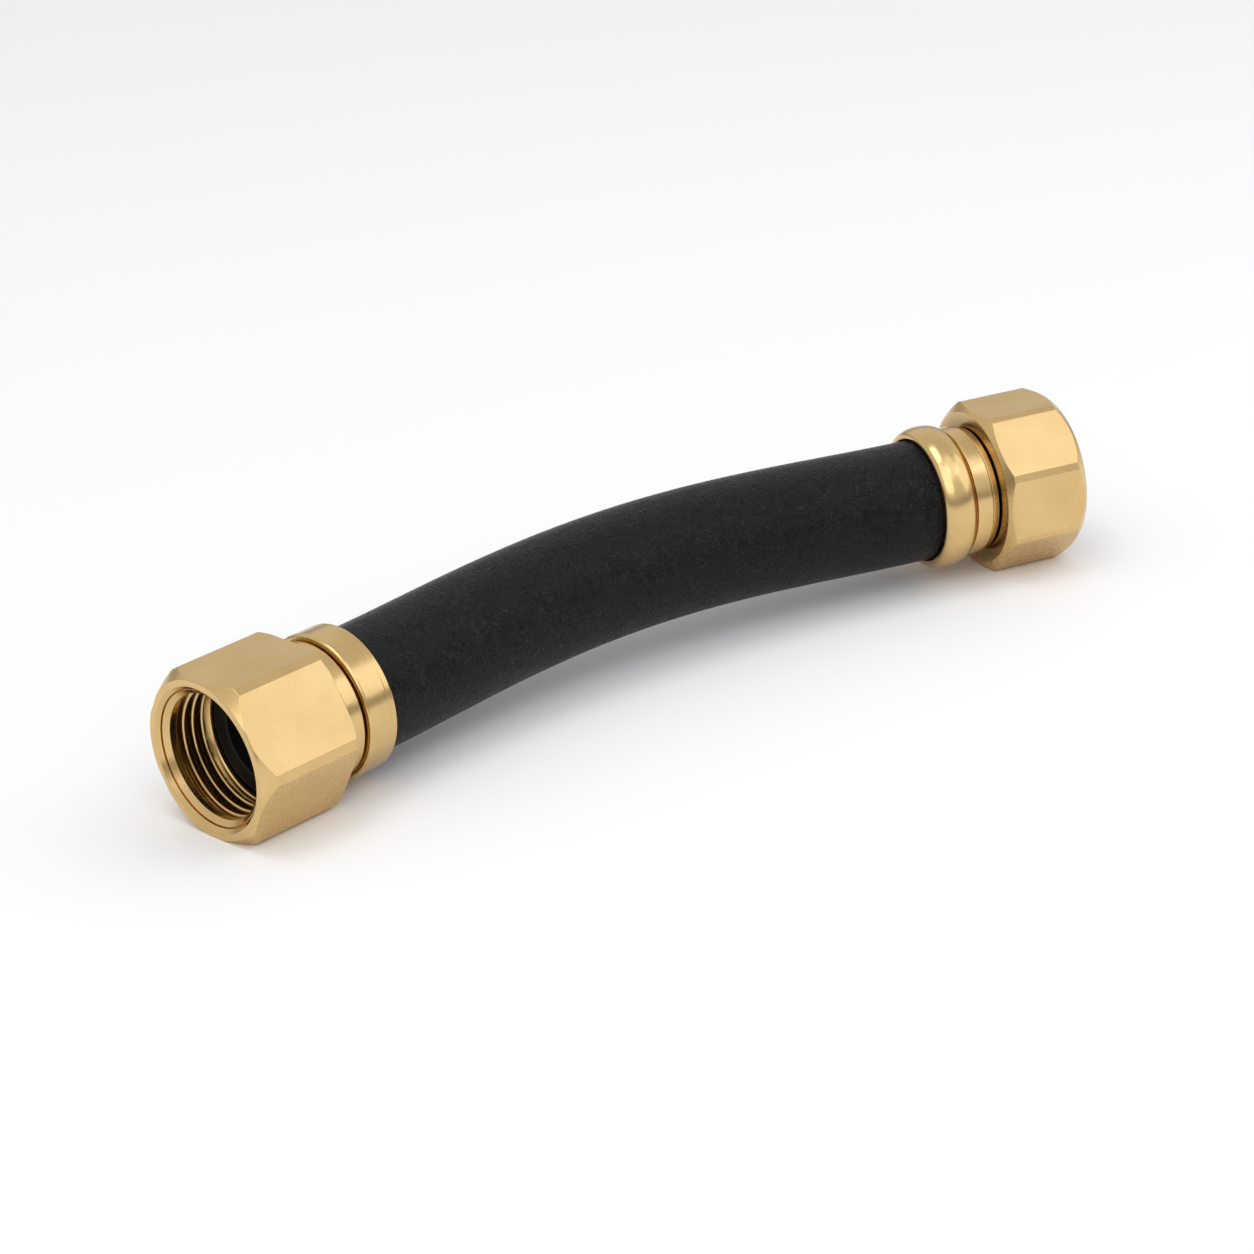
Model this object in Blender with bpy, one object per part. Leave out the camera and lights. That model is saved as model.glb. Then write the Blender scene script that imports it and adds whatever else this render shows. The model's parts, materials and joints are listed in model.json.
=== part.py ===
"""Short rubber hose with a brass swivel nut at each end, lying on a flat of each nut.

Metres, +Z up. The hose runs along X, bows towards +Y and arches slightly upwards. The hexagon nut is at the
-X end, the octagon nut at the +X end. The origin is the middle of the whole part's footprint.
Each coupling is drawn along its own axis: depth is measured inwards from the nut's mouth.
"""

import math
from dataclasses import dataclass

import bmesh
import bpy
from mathutils import Matrix, Vector

MM = 0.001
INCH = 25.4 * MM

# Gaps
CLEARANCE = 0.3 * MM  # between pieces that touch
SWIVEL_GAP = 0.3 * MM  # between a nut and what it turns on
CUTTER_MARGIN = 1.0 * MM  # how far a cutting shape runs past what it cuts

# Hose
HOSE_OUTER_DIAMETER = 25.4 * MM
HOSE_BORE_DIAMETER = 19.0 * MM
HOSE_FREE_LENGTH = 140.0 * MM  # between the ferrules, along the curve
HOSE_BEND = math.radians(22.5)  # between the two couplings' axes
HOSE_ARCH = 2.2 * MM  # how far the middle stands above the line between the couplings
HOSE_SQUEEZE = 1.0 * MM  # what the crimp takes off the radius
HOSE_STATIONS = 20

# Internal thread, 3/4 inch garden hose size, cut into a bore of its minor diameter
THREAD_MAJOR_DIAMETER = 27.0 * MM
THREAD_DEPTH = 1.0 * MM
THREAD_PITCH = INCH / 11.5
THREAD_LEAD = 1.0 * MM  # plain length between the countersink and the thread
THREAD_RUNOUT = 0.4 * MM  # plain length between the thread and the washer
COUNTERSINK_DIAMETER = 29.0 * MM  # at the mouth; its sides slope at 45 degrees
SOCKET_DEPTH = 12.2 * MM  # mouth to washer

# Washer
WASHER_BORE_DIAMETER = 17.0 * MM
WASHER_THICKNESS = 2.8 * MM

# Stem
STEM_BORE_DIAMETER = 14.4 * MM
STEM_NECK_DIAMETER = 20.0 * MM
STEM_FLANGE_THICKNESS = 1.6 * MM
BARB_COUNT = 3
BARB_LENGTH = 3.4 * MM
BARB_DEPTH = 0.5 * MM
STEM_TIP_CHAMFER = 0.6 * MM

# Ferrules
FERRULE_END_WALL = 1.5 * MM
FERRULE_BAND_WALL = 1.65 * MM  # outside the crimped hose
FERRULE_GROOVE_WALL = 0.95 * MM
FERRULE_EDGE = 0.3 * MM
CRIMP_OVERRUN = 0.6 * MM  # how far the crimp runs on under the sleeve
CRIMP_SLOPE = 0.8 * MM  # length over which the hose widens again
SHOULDER_RADIUS = 1.4 * MM
BEAD_LIP = 0.5 * MM  # thickness of the rolled bead's edge around the hose

ROUND_SIDES = 32
ARC_STEPS = 3
BEAD_STEPS = 8
SHARP_ANGLE = math.radians(30)
WELD_DISTANCE = 1e-6

# Thread form over one pitch: where the root and the crest start and end
THREAD_FORM = ((0.0, "root"), (0.3, "root"), (0.55, "crest"), (0.7, "crest"))


@dataclass
class Coupling:
    """Sizes of one end; lengths run along its axis."""

    prefix: str
    nut_sides: int
    across_flats: float
    corner_bevel: float  # width of the bevel that runs along each corner
    nut_length: float
    mouth_face_diameter: float  # outer edge of the flat ring round the mouth
    mouth_chamfer: float  # length of the chamfer where two flats would meet
    back_face_diameter: float
    back_chamfer: float
    collar_diameter: float
    collar_length: float
    band_length: float
    groove_length: float
    sleeve_length: float
    sleeve_wall: float  # outside the hose at its full diameter
    rolled_bead: bool

    @property
    def corner_radius(self):
        return self.across_flats / 2 / math.cos(math.pi / self.nut_sides)

    @property
    def flange_front(self):
        return SOCKET_DEPTH + WASHER_THICKNESS + CLEARANCE

    @property
    def flange_back(self):
        return self.flange_front + STEM_FLANGE_THICKNESS

    @property
    def collar_front(self):
        return self.nut_length + SWIVEL_GAP

    @property
    def ferrule_front(self):
        return self.collar_front + self.collar_length + CLEARANCE

    @property
    def hose_end(self):
        return self.ferrule_front + FERRULE_END_WALL + CLEARANCE

    @property
    def sleeve_front(self):
        return self.ferrule_front + self.band_length + self.groove_length

    @property
    def ferrule_back(self):
        return self.sleeve_front + self.sleeve_length

    @property
    def crimp_end(self):
        return self.sleeve_front + CRIMP_OVERRUN

    @property
    def sleeve_radius(self):
        return HOSE_RADIUS + CLEARANCE + self.sleeve_wall


HEX_END = Coupling(
    prefix="hex_end",
    nut_sides=6,
    across_flats=1.25 * INCH,
    corner_bevel=2.0 * MM,
    nut_length=22.6 * MM,
    mouth_face_diameter=31.6 * MM,
    mouth_chamfer=3.0 * MM,
    back_face_diameter=33.0 * MM,
    back_chamfer=1.2 * MM,
    collar_diameter=23.0 * MM,
    collar_length=0.8 * MM,
    band_length=3.1 * MM,
    groove_length=0.5 * MM,
    sleeve_length=6.8 * MM,
    sleeve_wall=1.7 * MM,
    rolled_bead=False,
)
OCTAGON_END = Coupling(
    prefix="octagon_end",
    nut_sides=8,
    across_flats=34.2 * MM,
    corner_bevel=1.5 * MM,
    nut_length=18.6 * MM,
    mouth_face_diameter=32.6 * MM,
    mouth_chamfer=2.6 * MM,
    back_face_diameter=32.4 * MM,
    back_chamfer=1.6 * MM,
    collar_diameter=26.1 * MM,
    collar_length=1.4 * MM,
    band_length=3.5 * MM,
    groove_length=0.4 * MM,
    sleeve_length=7.3 * MM,
    sleeve_wall=2.1 * MM,
    rolled_bead=True,
)

HOSE_RADIUS = HOSE_OUTER_DIAMETER / 2
CRIMPED_RADIUS = HOSE_RADIUS - HOSE_SQUEEZE
SOCKET_RADIUS = THREAD_MAJOR_DIAMETER / 2 - THREAD_DEPTH
NECK_RADIUS = STEM_NECK_DIAMETER / 2


def clear_scene():
    for obj in list(bpy.data.objects):
        bpy.data.objects.remove(obj)


def new_material(name, color, roughness, metallic):
    material = bpy.data.materials.new(name)
    material.use_nodes = True
    shader = material.node_tree.nodes["Principled BSDF"]
    shader.inputs["Base Color"].default_value = (*color, 1.0)
    shader.inputs["Roughness"].default_value = roughness
    shader.inputs["Metallic"].default_value = metallic
    material.diffuse_color = (*color, 1.0)
    return material


def new_object(name, mesh_data, material=None, parent=None):
    """Makes the object of a finished bmesh, facing outwards and shaded smooth between its sharp edges."""
    bmesh.ops.recalc_face_normals(mesh_data, faces=mesh_data.faces)
    mesh = bpy.data.meshes.new(name)
    mesh_data.to_mesh(mesh)
    mesh_data.free()
    mesh.shade_smooth()
    mesh.set_sharp_from_angle(angle=SHARP_ANGLE)
    obj = bpy.data.objects.new(name, mesh)
    bpy.context.scene.collection.objects.link(obj)
    if material:
        mesh.materials.append(material)
    obj.parent = parent
    return obj


def new_empty(name, parent=None):
    empty = bpy.data.objects.new(name, None)
    bpy.context.scene.collection.objects.link(empty)
    empty.parent = parent
    return empty


def turned(outline):
    """Spins a closed outline of (radius, depth) points about the coupling's axis, local Z, mouth outwards."""
    shape = bmesh.new()
    points = [shape.verts.new((radius, 0, -depth)) for radius, depth in outline]
    edges = [shape.edges.new(pair) for pair in zip(points, points[1:] + points[:1])]
    bmesh.ops.spin(
        shape,
        geom=points + edges,
        cent=(0, 0, 0),
        axis=(0, 0, 1),
        angle=2 * math.pi,
        steps=ROUND_SIDES,
        use_merge=True,
    )
    bmesh.ops.remove_doubles(shape, verts=shape.verts, dist=WELD_DISTANCE)
    return shape


def arc(centre, radii, start, end, steps):
    """Points of an elliptic arc; centre and radii are (radius, depth) pairs, angles in degrees from outwards."""
    points = []
    for step in range(steps + 1):
        angle = math.radians(start + (end - start) * step / steps)
        points.append((centre[0] + radii[0] * math.cos(angle), centre[1] + radii[1] * math.sin(angle)))
    return points


def polygon_prism(sides, across_flats, bevel, front, back):
    """A prism with a flat facing local +Y and -Y and its corners bevelled to this width."""
    shape = bmesh.new()
    apothem = across_flats / 2
    half_flat = apothem * math.tan(math.pi / sides) - bevel / 2 / math.cos(math.pi / sides)
    rings = []
    for depth in (front, back):
        ring = []
        for side in range(sides):
            angle = side * 2 * math.pi / sides
            for along in (-half_flat, half_flat):
                x = apothem * math.sin(angle) + along * math.cos(angle)
                y = apothem * math.cos(angle) - along * math.sin(angle)
                ring.append(shape.verts.new((x, y, -depth)))
        rings.append(ring)
    for ring in rings:
        shape.faces.new(ring)
    for corner in range(len(rings[0])):
        following = (corner + 1) % len(rings[0])
        shape.faces.new((rings[0][corner], rings[0][following], rings[1][following], rings[1][corner]))
    return shape


def chamfer_envelope(end):
    """The turned blank that the nut's polygon is cut from: both chamfers and both end faces."""
    outer = end.corner_radius + CUTTER_MARGIN

    def chamfer_depth(face_radius, length):
        return length * (outer - face_radius) / (end.corner_radius - face_radius)

    mouth_radius = end.mouth_face_diameter / 2
    back_radius = end.back_face_diameter / 2
    return turned(
        [
            (0, 0),
            (mouth_radius, 0),
            (outer, chamfer_depth(mouth_radius, end.mouth_chamfer)),
            (outer, end.nut_length - chamfer_depth(back_radius, end.back_chamfer)),
            (back_radius, end.nut_length),
            (0, end.nut_length),
        ]
    )


def thread_column(column, start, end):
    """(radius, depth) down one column of a right-hand thread that fades out at both ends, clipped to them."""
    turn = column / ROUND_SIDES
    turns = math.ceil((end - start) / THREAD_PITCH) + 1
    points = []
    for pitch_number in range(-1, turns):
        for share, part in THREAD_FORM:
            depth = start + (pitch_number + share + 1 - turn) * THREAD_PITCH
            ramp = min(1.0, (depth - start) / (THREAD_PITCH / 2), (end - depth) / (THREAD_PITCH / 2))
            cut = THREAD_DEPTH * max(0.0, ramp) if part == "root" else 0.0
            points.append((SOCKET_RADIUS + cut, min(max(depth, start), end)))
    return points


def socket_plug(end):
    """Everything that is hollow in the nut: countersink, thread, washer and flange chamber, neck hole."""
    countersink_depth = COUNTERSINK_DIAMETER / 2 - SOCKET_RADIUS
    thread_start = countersink_depth + THREAD_LEAD
    thread_end = SOCKET_DEPTH - THREAD_RUNOUT
    chamber_end = end.flange_back + SWIVEL_GAP
    hole_radius = NECK_RADIUS + SWIVEL_GAP
    before = [
        (COUNTERSINK_DIAMETER / 2 + CUTTER_MARGIN, -CUTTER_MARGIN),
        (SOCKET_RADIUS, countersink_depth),
        (SOCKET_RADIUS, thread_start),
    ]
    after = [
        (SOCKET_RADIUS, thread_end),
        (SOCKET_RADIUS, chamber_end),
        (hole_radius, chamber_end),
        (hole_radius, end.nut_length + CUTTER_MARGIN),
    ]
    shape = bmesh.new()
    made = {}

    def vertex(column, radius, depth):
        key = (column % ROUND_SIDES, round(radius / WELD_DISTANCE), round(depth / WELD_DISTANCE))
        if key not in made:
            angle = 2 * math.pi * column / ROUND_SIDES
            made[key] = shape.verts.new((radius * math.cos(angle), radius * math.sin(angle), -depth))
        return made[key]

    def strip(lower, lower_column, upper, upper_column):
        for k in range(len(lower) - 1):
            corners = [
                vertex(lower_column, *lower[k]),
                vertex(upper_column, *upper[k]),
                vertex(upper_column, *upper[k + 1]),
                vertex(lower_column, *lower[k + 1]),
            ]
            corners = list(dict.fromkeys(corners))
            if len(corners) > 2:
                shape.faces.new(corners)

    for column in range(ROUND_SIDES):
        strip(before, column, before, column + 1)
        strip(after, column, after, column + 1)
        lower = thread_column(column, thread_start, thread_end)
        upper = thread_column(column + 1, thread_start, thread_end)
        strip(lower, column, upper, column + 1)
    for radius, depth in (before[0], after[-1]):
        shape.faces.new([vertex(column, radius, depth) for column in range(ROUND_SIDES)])
    return shape


def cut(obj, cutter, operation):
    """Leaves a Boolean on obj and hides its cutter."""
    cutter.hide_render = True
    cutter.display_type = "WIRE"
    modifier = obj.modifiers.new(cutter.name, "BOOLEAN")
    modifier.operation = operation
    modifier.solver = "EXACT"
    modifier.object = cutter


def make_nut(end, name, seat, brass):
    back = end.nut_length + CUTTER_MARGIN
    blank = polygon_prism(end.nut_sides, end.across_flats, end.corner_bevel, -CUTTER_MARGIN, back)
    nut = new_object(name, blank, brass, seat)
    envelope = new_object(name + "_envelope", chamfer_envelope(end), parent=seat)
    plug = new_object(name + "_socket", socket_plug(end), parent=seat)
    cut(nut, envelope, "INTERSECT")
    cut(nut, plug, "DIFFERENCE")
    return nut


def make_washer(end, seat, rubber):
    inner = WASHER_BORE_DIAMETER / 2
    outer = SOCKET_RADIUS - SWIVEL_GAP
    back = SOCKET_DEPTH + WASHER_THICKNESS
    ring = turned([(inner, SOCKET_DEPTH), (outer, SOCKET_DEPTH), (outer, back), (inner, back)])
    return new_object(end.prefix + "_washer", ring, rubber, seat)


def make_stem(end, seat, brass):
    """Flange, neck, collar and barbed tail round one bore."""
    bore = STEM_BORE_DIAMETER / 2
    flange = SOCKET_RADIUS - SWIVEL_GAP
    collar = end.collar_diameter / 2
    collar_back = end.collar_front + end.collar_length
    neck_end = end.ferrule_front + FERRULE_END_WALL
    barb_top = HOSE_BORE_DIAMETER / 2 - CLEARANCE
    barb_foot = barb_top - BARB_DEPTH
    outline = [
        (bore, end.flange_front),
        (flange, end.flange_front),
        (flange, end.flange_back),
        (NECK_RADIUS, end.flange_back),
        (NECK_RADIUS, end.collar_front),
        (collar, end.collar_front),
        (collar, collar_back),
        (NECK_RADIUS, collar_back),
        (NECK_RADIUS, neck_end),
    ]
    for barb in range(BARB_COUNT):
        barb_start = neck_end + barb * BARB_LENGTH
        outline.append((barb_top, barb_start))
        outline.append((barb_foot, barb_start + BARB_LENGTH))
    tip = neck_end + BARB_COUNT * BARB_LENGTH
    outline.append((barb_foot - STEM_TIP_CHAMFER, tip + STEM_TIP_CHAMFER))
    outline.append((bore, tip + STEM_TIP_CHAMFER))
    return new_object(end.prefix + "_stem", turned(outline), brass, seat)


def plain_sleeve(end):
    """Outer line of a straight crimp sleeve, from its rounded shoulder to its back edge."""
    radius = end.sleeve_radius
    front = end.sleeve_front
    shoulder = arc(
        (radius - SHOULDER_RADIUS, front + SHOULDER_RADIUS),
        (SHOULDER_RADIUS, SHOULDER_RADIUS),
        -90,
        0,
        ARC_STEPS,
    )
    return shoulder + [(radius, end.ferrule_back - FERRULE_EDGE), (radius - FERRULE_EDGE, end.ferrule_back)]


def rolled_bead(end):
    """Outer line of a sleeve that is one rolled bead."""
    foot = HOSE_RADIUS + CLEARANCE + BEAD_LIP
    crown = end.sleeve_radius - foot
    half = end.sleeve_length / 2
    return arc((foot, end.sleeve_front + half), (crown, half), -90, 90, BEAD_STEPS)


def make_ferrule(end, seat, brass):
    crimped = CRIMPED_RADIUS + CLEARANCE
    band = crimped + FERRULE_BAND_WALL
    groove = crimped + FERRULE_GROOVE_WALL
    front = end.ferrule_front
    band_back = front + end.band_length
    hole = NECK_RADIUS + CLEARANCE
    open_radius = HOSE_RADIUS + CLEARANCE
    outline = [
        (hole, front),
        (band - FERRULE_EDGE, front),
        (band, front + FERRULE_EDGE),
        (band, band_back - FERRULE_EDGE),
        (groove, band_back),
        (groove, end.sleeve_front),
    ]
    outline += rolled_bead(end) if end.rolled_bead else plain_sleeve(end)
    outline += [
        (open_radius, end.ferrule_back),
        (open_radius, end.crimp_end + CRIMP_SLOPE),
        (crimped, end.crimp_end),
        (crimped, front + FERRULE_END_WALL),
        (hole, front + FERRULE_END_WALL),
    ]
    return new_object(end.prefix + "_ferrule", turned(outline), brass, seat)


def smooth(share):
    """Rises from 0 to 1 with level ends."""
    share = min(max(share, 0.0), 1.0)
    return share * share * (3 - 2 * share)


def heading(share):
    """Direction of the hose in the level plane, from +X, at a share of its free length."""
    return HOSE_BEND * (0.5 - smooth(share))


def arch_height(share):
    """Height of the hose's slight upward arch, level at both ends and HOSE_ARCH at the middle."""
    return HOSE_ARCH * 16 * share**2 * (1 - share) ** 2


def free_centreline():
    """(point, direction) along the free hose, starting at the hexagon end's ferrule, above (0, 0)."""
    point = Vector((0, 0, 0))
    step = HOSE_FREE_LENGTH / HOSE_STATIONS
    stations = []
    for station in range(HOSE_STATIONS + 1):
        share = station / HOSE_STATIONS
        height = HEX_END.across_flats / 2 * (1 - smooth(share)) + OCTAGON_END.across_flats / 2 * smooth(share)
        height += arch_height(share)
        angle = heading(share)
        stations.append((Vector((point.x, point.y, height)), Vector((math.cos(angle), math.sin(angle), 0))))
        middle = heading(share + 0.5 / HOSE_STATIONS)
        point += step * Vector((math.cos(middle), math.sin(middle), 0))
    return stations


def crimped_stations(end, ferrule_point, inwards):
    """(point, direction, outer radius) inside one ferrule, from the hose's cut end to the ferrule's edge."""
    depths = (
        (end.hose_end, CRIMPED_RADIUS),
        (end.crimp_end, CRIMPED_RADIUS),
        (end.crimp_end + CRIMP_SLOPE, HOSE_RADIUS),
    )
    return [(ferrule_point - inwards * (end.ferrule_back - depth), radius) for depth, radius in depths]


def make_hose(centreline, rubber, parent):
    """Sweeps the tube wall along the centreline, straight inside both ferrules."""
    start, start_direction = centreline[0]
    finish, finish_direction = centreline[-1]
    stations = [
        (point, start_direction, radius) for point, radius in crimped_stations(HEX_END, start, start_direction)
    ]
    stations += [(point, direction, HOSE_RADIUS) for point, direction in centreline]
    far_end = crimped_stations(OCTAGON_END, finish, -finish_direction)
    stations += [(point, finish_direction, radius) for point, radius in reversed(far_end)]
    shape = bmesh.new()
    walls = []
    for point, direction, outer in stations:
        side = direction.cross(Vector((0, 0, 1)))
        rings = []
        for radius in (outer, HOSE_BORE_DIAMETER / 2):
            ring = []
            for corner in range(ROUND_SIDES):
                angle = 2 * math.pi * corner / ROUND_SIDES
                offset = radius * (math.cos(angle) * side + math.sin(angle) * Vector((0, 0, 1)))
                ring.append(shape.verts.new(point + offset))
            rings.append(ring)
        walls.append(rings)
    for corner in range(ROUND_SIDES):
        following = (corner + 1) % ROUND_SIDES
        for here, ahead in zip(walls, walls[1:]):
            for layer in range(2):
                shape.faces.new(
                    (here[layer][corner], here[layer][following], ahead[layer][following], ahead[layer][corner])
                )
        for rings in (walls[0], walls[-1]):
            shape.faces.new((rings[0][corner], rings[0][following], rings[1][following], rings[1][corner]))
    return new_object("hose", shape, rubber, parent)


def make_seat(end, ferrule_point, outwards, parent):
    """Empty at the nut's mouth: its Z runs out of the mouth and its Y straight up."""
    seat = new_empty(end.prefix + "_seat", parent)
    up = Vector((0, 0, 1))
    side = up.cross(outwards)
    turn = Matrix((side, up, outwards)).transposed()
    seat.matrix_local = Matrix.Translation(ferrule_point + outwards * end.ferrule_back) @ turn.to_4x4()
    return seat


def make_end(end, nut_name, ferrule_point, outwards, brass, rubber, parent):
    seat = make_seat(end, ferrule_point, outwards, parent)
    make_nut(end, nut_name, seat, brass)
    make_washer(end, seat, rubber)
    make_stem(end, seat, brass)
    make_ferrule(end, seat, brass)


def centre_footprint(assembly):
    """Moves the whole part so that its bounding box is centred over the origin."""
    bpy.context.view_layer.update()
    graph = bpy.context.evaluated_depsgraph_get()
    corners = []
    for obj in bpy.context.scene.objects:
        if obj.type == "MESH" and not obj.hide_render:
            placed = obj.evaluated_get(graph)
            corners += [placed.matrix_world @ vertex.co for vertex in placed.data.vertices]
    for axis in range(2):
        values = [corner[axis] for corner in corners]
        assembly.location[axis] = -(min(values) + max(values)) / 2
    bpy.context.view_layer.update()


def main():
    clear_scene()
    brass = new_material("brass", (0.66, 0.47, 0.22), 0.32, 1.0)
    hose_rubber = new_material("hose_rubber", (0.012, 0.012, 0.013), 0.55, 0.0)
    washer_rubber = new_material("washer_rubber", (0.008, 0.008, 0.009), 0.6, 0.0)
    assembly = new_empty("hose_assembly")
    centreline = free_centreline()
    make_hose(centreline, hose_rubber, assembly)
    start, start_direction = centreline[0]
    finish, finish_direction = centreline[-1]
    make_end(HEX_END, "hexagon_nut", start, -start_direction, brass, washer_rubber, assembly)
    make_end(OCTAGON_END, "octagon_nut", finish, finish_direction, brass, washer_rubber, assembly)
    centre_footprint(assembly)


main()
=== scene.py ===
"""Looks of a short rubber hose with a brass swivel nut at each end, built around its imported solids.

Sizes are in metres, written through MM. Each coupling is drawn in its own frame: the middle of the nut's
mouth, local Z out of the mouth, local Y up. Depth is measured inwards from the mouth, and a profile is a list
of (radius, depth) points.
"""

import json
import math
from dataclasses import dataclass

import bmesh
import bpy
from mathutils import Matrix, Vector


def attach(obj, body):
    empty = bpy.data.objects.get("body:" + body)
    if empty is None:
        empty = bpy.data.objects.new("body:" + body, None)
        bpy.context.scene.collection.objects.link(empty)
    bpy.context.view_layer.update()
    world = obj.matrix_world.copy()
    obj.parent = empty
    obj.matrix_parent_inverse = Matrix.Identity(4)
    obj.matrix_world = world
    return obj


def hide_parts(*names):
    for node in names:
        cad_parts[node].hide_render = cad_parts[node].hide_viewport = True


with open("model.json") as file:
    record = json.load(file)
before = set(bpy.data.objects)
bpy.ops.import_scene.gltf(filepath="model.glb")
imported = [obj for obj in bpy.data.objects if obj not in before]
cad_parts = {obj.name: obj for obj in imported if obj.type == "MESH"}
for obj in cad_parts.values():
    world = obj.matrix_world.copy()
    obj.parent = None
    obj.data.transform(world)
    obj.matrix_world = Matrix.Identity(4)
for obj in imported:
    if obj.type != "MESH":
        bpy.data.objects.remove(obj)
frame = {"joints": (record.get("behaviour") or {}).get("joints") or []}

MM = 0.001
INCH = 25.4 * MM

# Gaps
CLEARANCE = 0.3 * MM
SWIVEL_GAP = 0.3 * MM

# Hose
HOSE_OUTER_DIAMETER = 25.4 * MM
HOSE_BORE_DIAMETER = 19.0 * MM
HOSE_FREE_LENGTH = 140.0 * MM
HOSE_BEND = math.radians(22.5)
HOSE_ARCH = 2.2 * MM
HOSE_SQUEEZE = 1.0 * MM
HOSE_RING_STEPS = 120
HOSE_LENGTH_STEPS = 138

# Internal thread, cut into a bore of its minor diameter
THREAD_MAJOR_DIAMETER = 27.0 * MM
THREAD_DEPTH = 1.0 * MM
THREAD_PITCH = INCH / 11.5
THREAD_LEAD = 1.0 * MM
THREAD_RUNOUT = 0.4 * MM
THREAD_CREST = 0.625  # middle of the crest; this and the next two are shares of the pitch
CREST_HALF_WIDTH = 0.06
FLANK_WIDTH = 0.28
COUNTERSINK_DIAMETER = 29.0 * MM
SOCKET_DEPTH = 12.2 * MM
RELIEF_PLACE = 0.9 * MM  # depth of a fine groove turned in the countersink
RELIEF_WIDTH = 0.26 * MM
RELIEF_DEPTH = 0.35 * MM

# Washer and stem
WASHER_BORE_DIAMETER = 17.0 * MM
WASHER_THICKNESS = 2.8 * MM
STEM_BORE_DIAMETER = 14.4 * MM
STEM_NECK_DIAMETER = 20.0 * MM
STEM_FLANGE_THICKNESS = 1.6 * MM
BARB_COUNT = 3
BARB_LENGTH = 3.4 * MM
BARB_DEPTH = 0.5 * MM

# Ferrules
FERRULE_END_WALL = 1.5 * MM
FERRULE_BAND_WALL = 1.65 * MM
FERRULE_GROOVE_WALL = 0.95 * MM
SHOULDER_RADIUS = 1.4 * MM
BEAD_LIP = 0.5 * MM
CRIMP_OVERRUN = 0.6 * MM
CRIMP_SLOPE = 0.8 * MM
SCORE_INSET = 1.4 * MM  # fine line turned round the plain sleeve, from its back edge
SCORE_DEPTH = 0.1 * MM

# Edge finish
EDGE = 0.14 * MM  # fillet on a machined edge
SOFT_EDGE = 0.35 * MM
STRIP_FILLET = 0.35 * MM
STEM_MOUTH_FILLET = 3 * SOFT_EDGE
FILLET_SHARE = 0.4  # most of a neighbouring edge that a fillet takes
SUPPORT = 0.15 * MM  # how far from a fillet a flat face keeps its own shading
SUPPORT_SHARE = 0.15  # most of an edge that this takes

# Fineness of the meshes
ARC_STEPS = 4
STRIP_STEPS = 4
BEAD_STEPS = 28
FLAT_STEPS = 22
TURNED_STEPS = 192
THREAD_STEPS = 16
SHARP_ANGLE = math.radians(35)
WELD_DISTANCE = 1e-6
STRAIGHT = 1e-6  # two unit vectors whose sum is shorter run straight on


@dataclass
class Coupling:
    """Sizes of one end; lengths run along its axis."""

    prefix: str
    nut: str
    joint: str
    nut_sides: int
    across_flats: float
    corner_bevel: float
    nut_length: float
    mouth_face_diameter: float
    mouth_chamfer: float
    back_face_diameter: float
    back_chamfer: float
    collar_diameter: float
    collar_length: float
    band_length: float
    groove_length: float
    sleeve_length: float
    sleeve_wall: float
    rolled_bead: bool

    @property
    def corner_radius(self):
        return self.across_flats / 2 / math.cos(math.pi / self.nut_sides)

    @property
    def flange_front(self):
        return SOCKET_DEPTH + WASHER_THICKNESS + CLEARANCE

    @property
    def flange_back(self):
        return self.flange_front + STEM_FLANGE_THICKNESS

    @property
    def collar_front(self):
        return self.nut_length + SWIVEL_GAP

    @property
    def ferrule_front(self):
        return self.collar_front + self.collar_length + CLEARANCE

    @property
    def hose_end(self):
        return self.ferrule_front + FERRULE_END_WALL + CLEARANCE

    @property
    def sleeve_front(self):
        return self.ferrule_front + self.band_length + self.groove_length

    @property
    def ferrule_back(self):
        return self.sleeve_front + self.sleeve_length

    @property
    def crimp_end(self):
        return self.sleeve_front + CRIMP_OVERRUN

    @property
    def sleeve_radius(self):
        return HOSE_RADIUS + CLEARANCE + self.sleeve_wall


HEX_END = Coupling(
    prefix="hex_end",
    nut="hexagon_nut",
    joint="hexagon_nut_swivel",
    nut_sides=6,
    across_flats=1.25 * INCH,
    corner_bevel=2.0 * MM,
    nut_length=22.6 * MM,
    mouth_face_diameter=31.6 * MM,
    mouth_chamfer=3.0 * MM,
    back_face_diameter=33.0 * MM,
    back_chamfer=1.2 * MM,
    collar_diameter=23.0 * MM,
    collar_length=0.8 * MM,
    band_length=3.1 * MM,
    groove_length=0.5 * MM,
    sleeve_length=6.8 * MM,
    sleeve_wall=1.7 * MM,
    rolled_bead=False,
)
OCTAGON_END = Coupling(
    prefix="octagon_end",
    nut="octagon_nut",
    joint="octagon_nut_swivel",
    nut_sides=8,
    across_flats=34.2 * MM,
    corner_bevel=1.5 * MM,
    nut_length=18.6 * MM,
    mouth_face_diameter=32.6 * MM,
    mouth_chamfer=2.6 * MM,
    back_face_diameter=32.4 * MM,
    back_chamfer=1.6 * MM,
    collar_diameter=26.1 * MM,
    collar_length=1.4 * MM,
    band_length=3.5 * MM,
    groove_length=0.4 * MM,
    sleeve_length=7.3 * MM,
    sleeve_wall=2.1 * MM,
    rolled_bead=True,
)

HOSE_RADIUS = HOSE_OUTER_DIAMETER / 2
CRIMPED_RADIUS = HOSE_RADIUS - HOSE_SQUEEZE
SOCKET_RADIUS = THREAD_MAJOR_DIAMETER / 2 - THREAD_DEPTH
NECK_RADIUS = STEM_NECK_DIAMETER / 2

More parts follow.
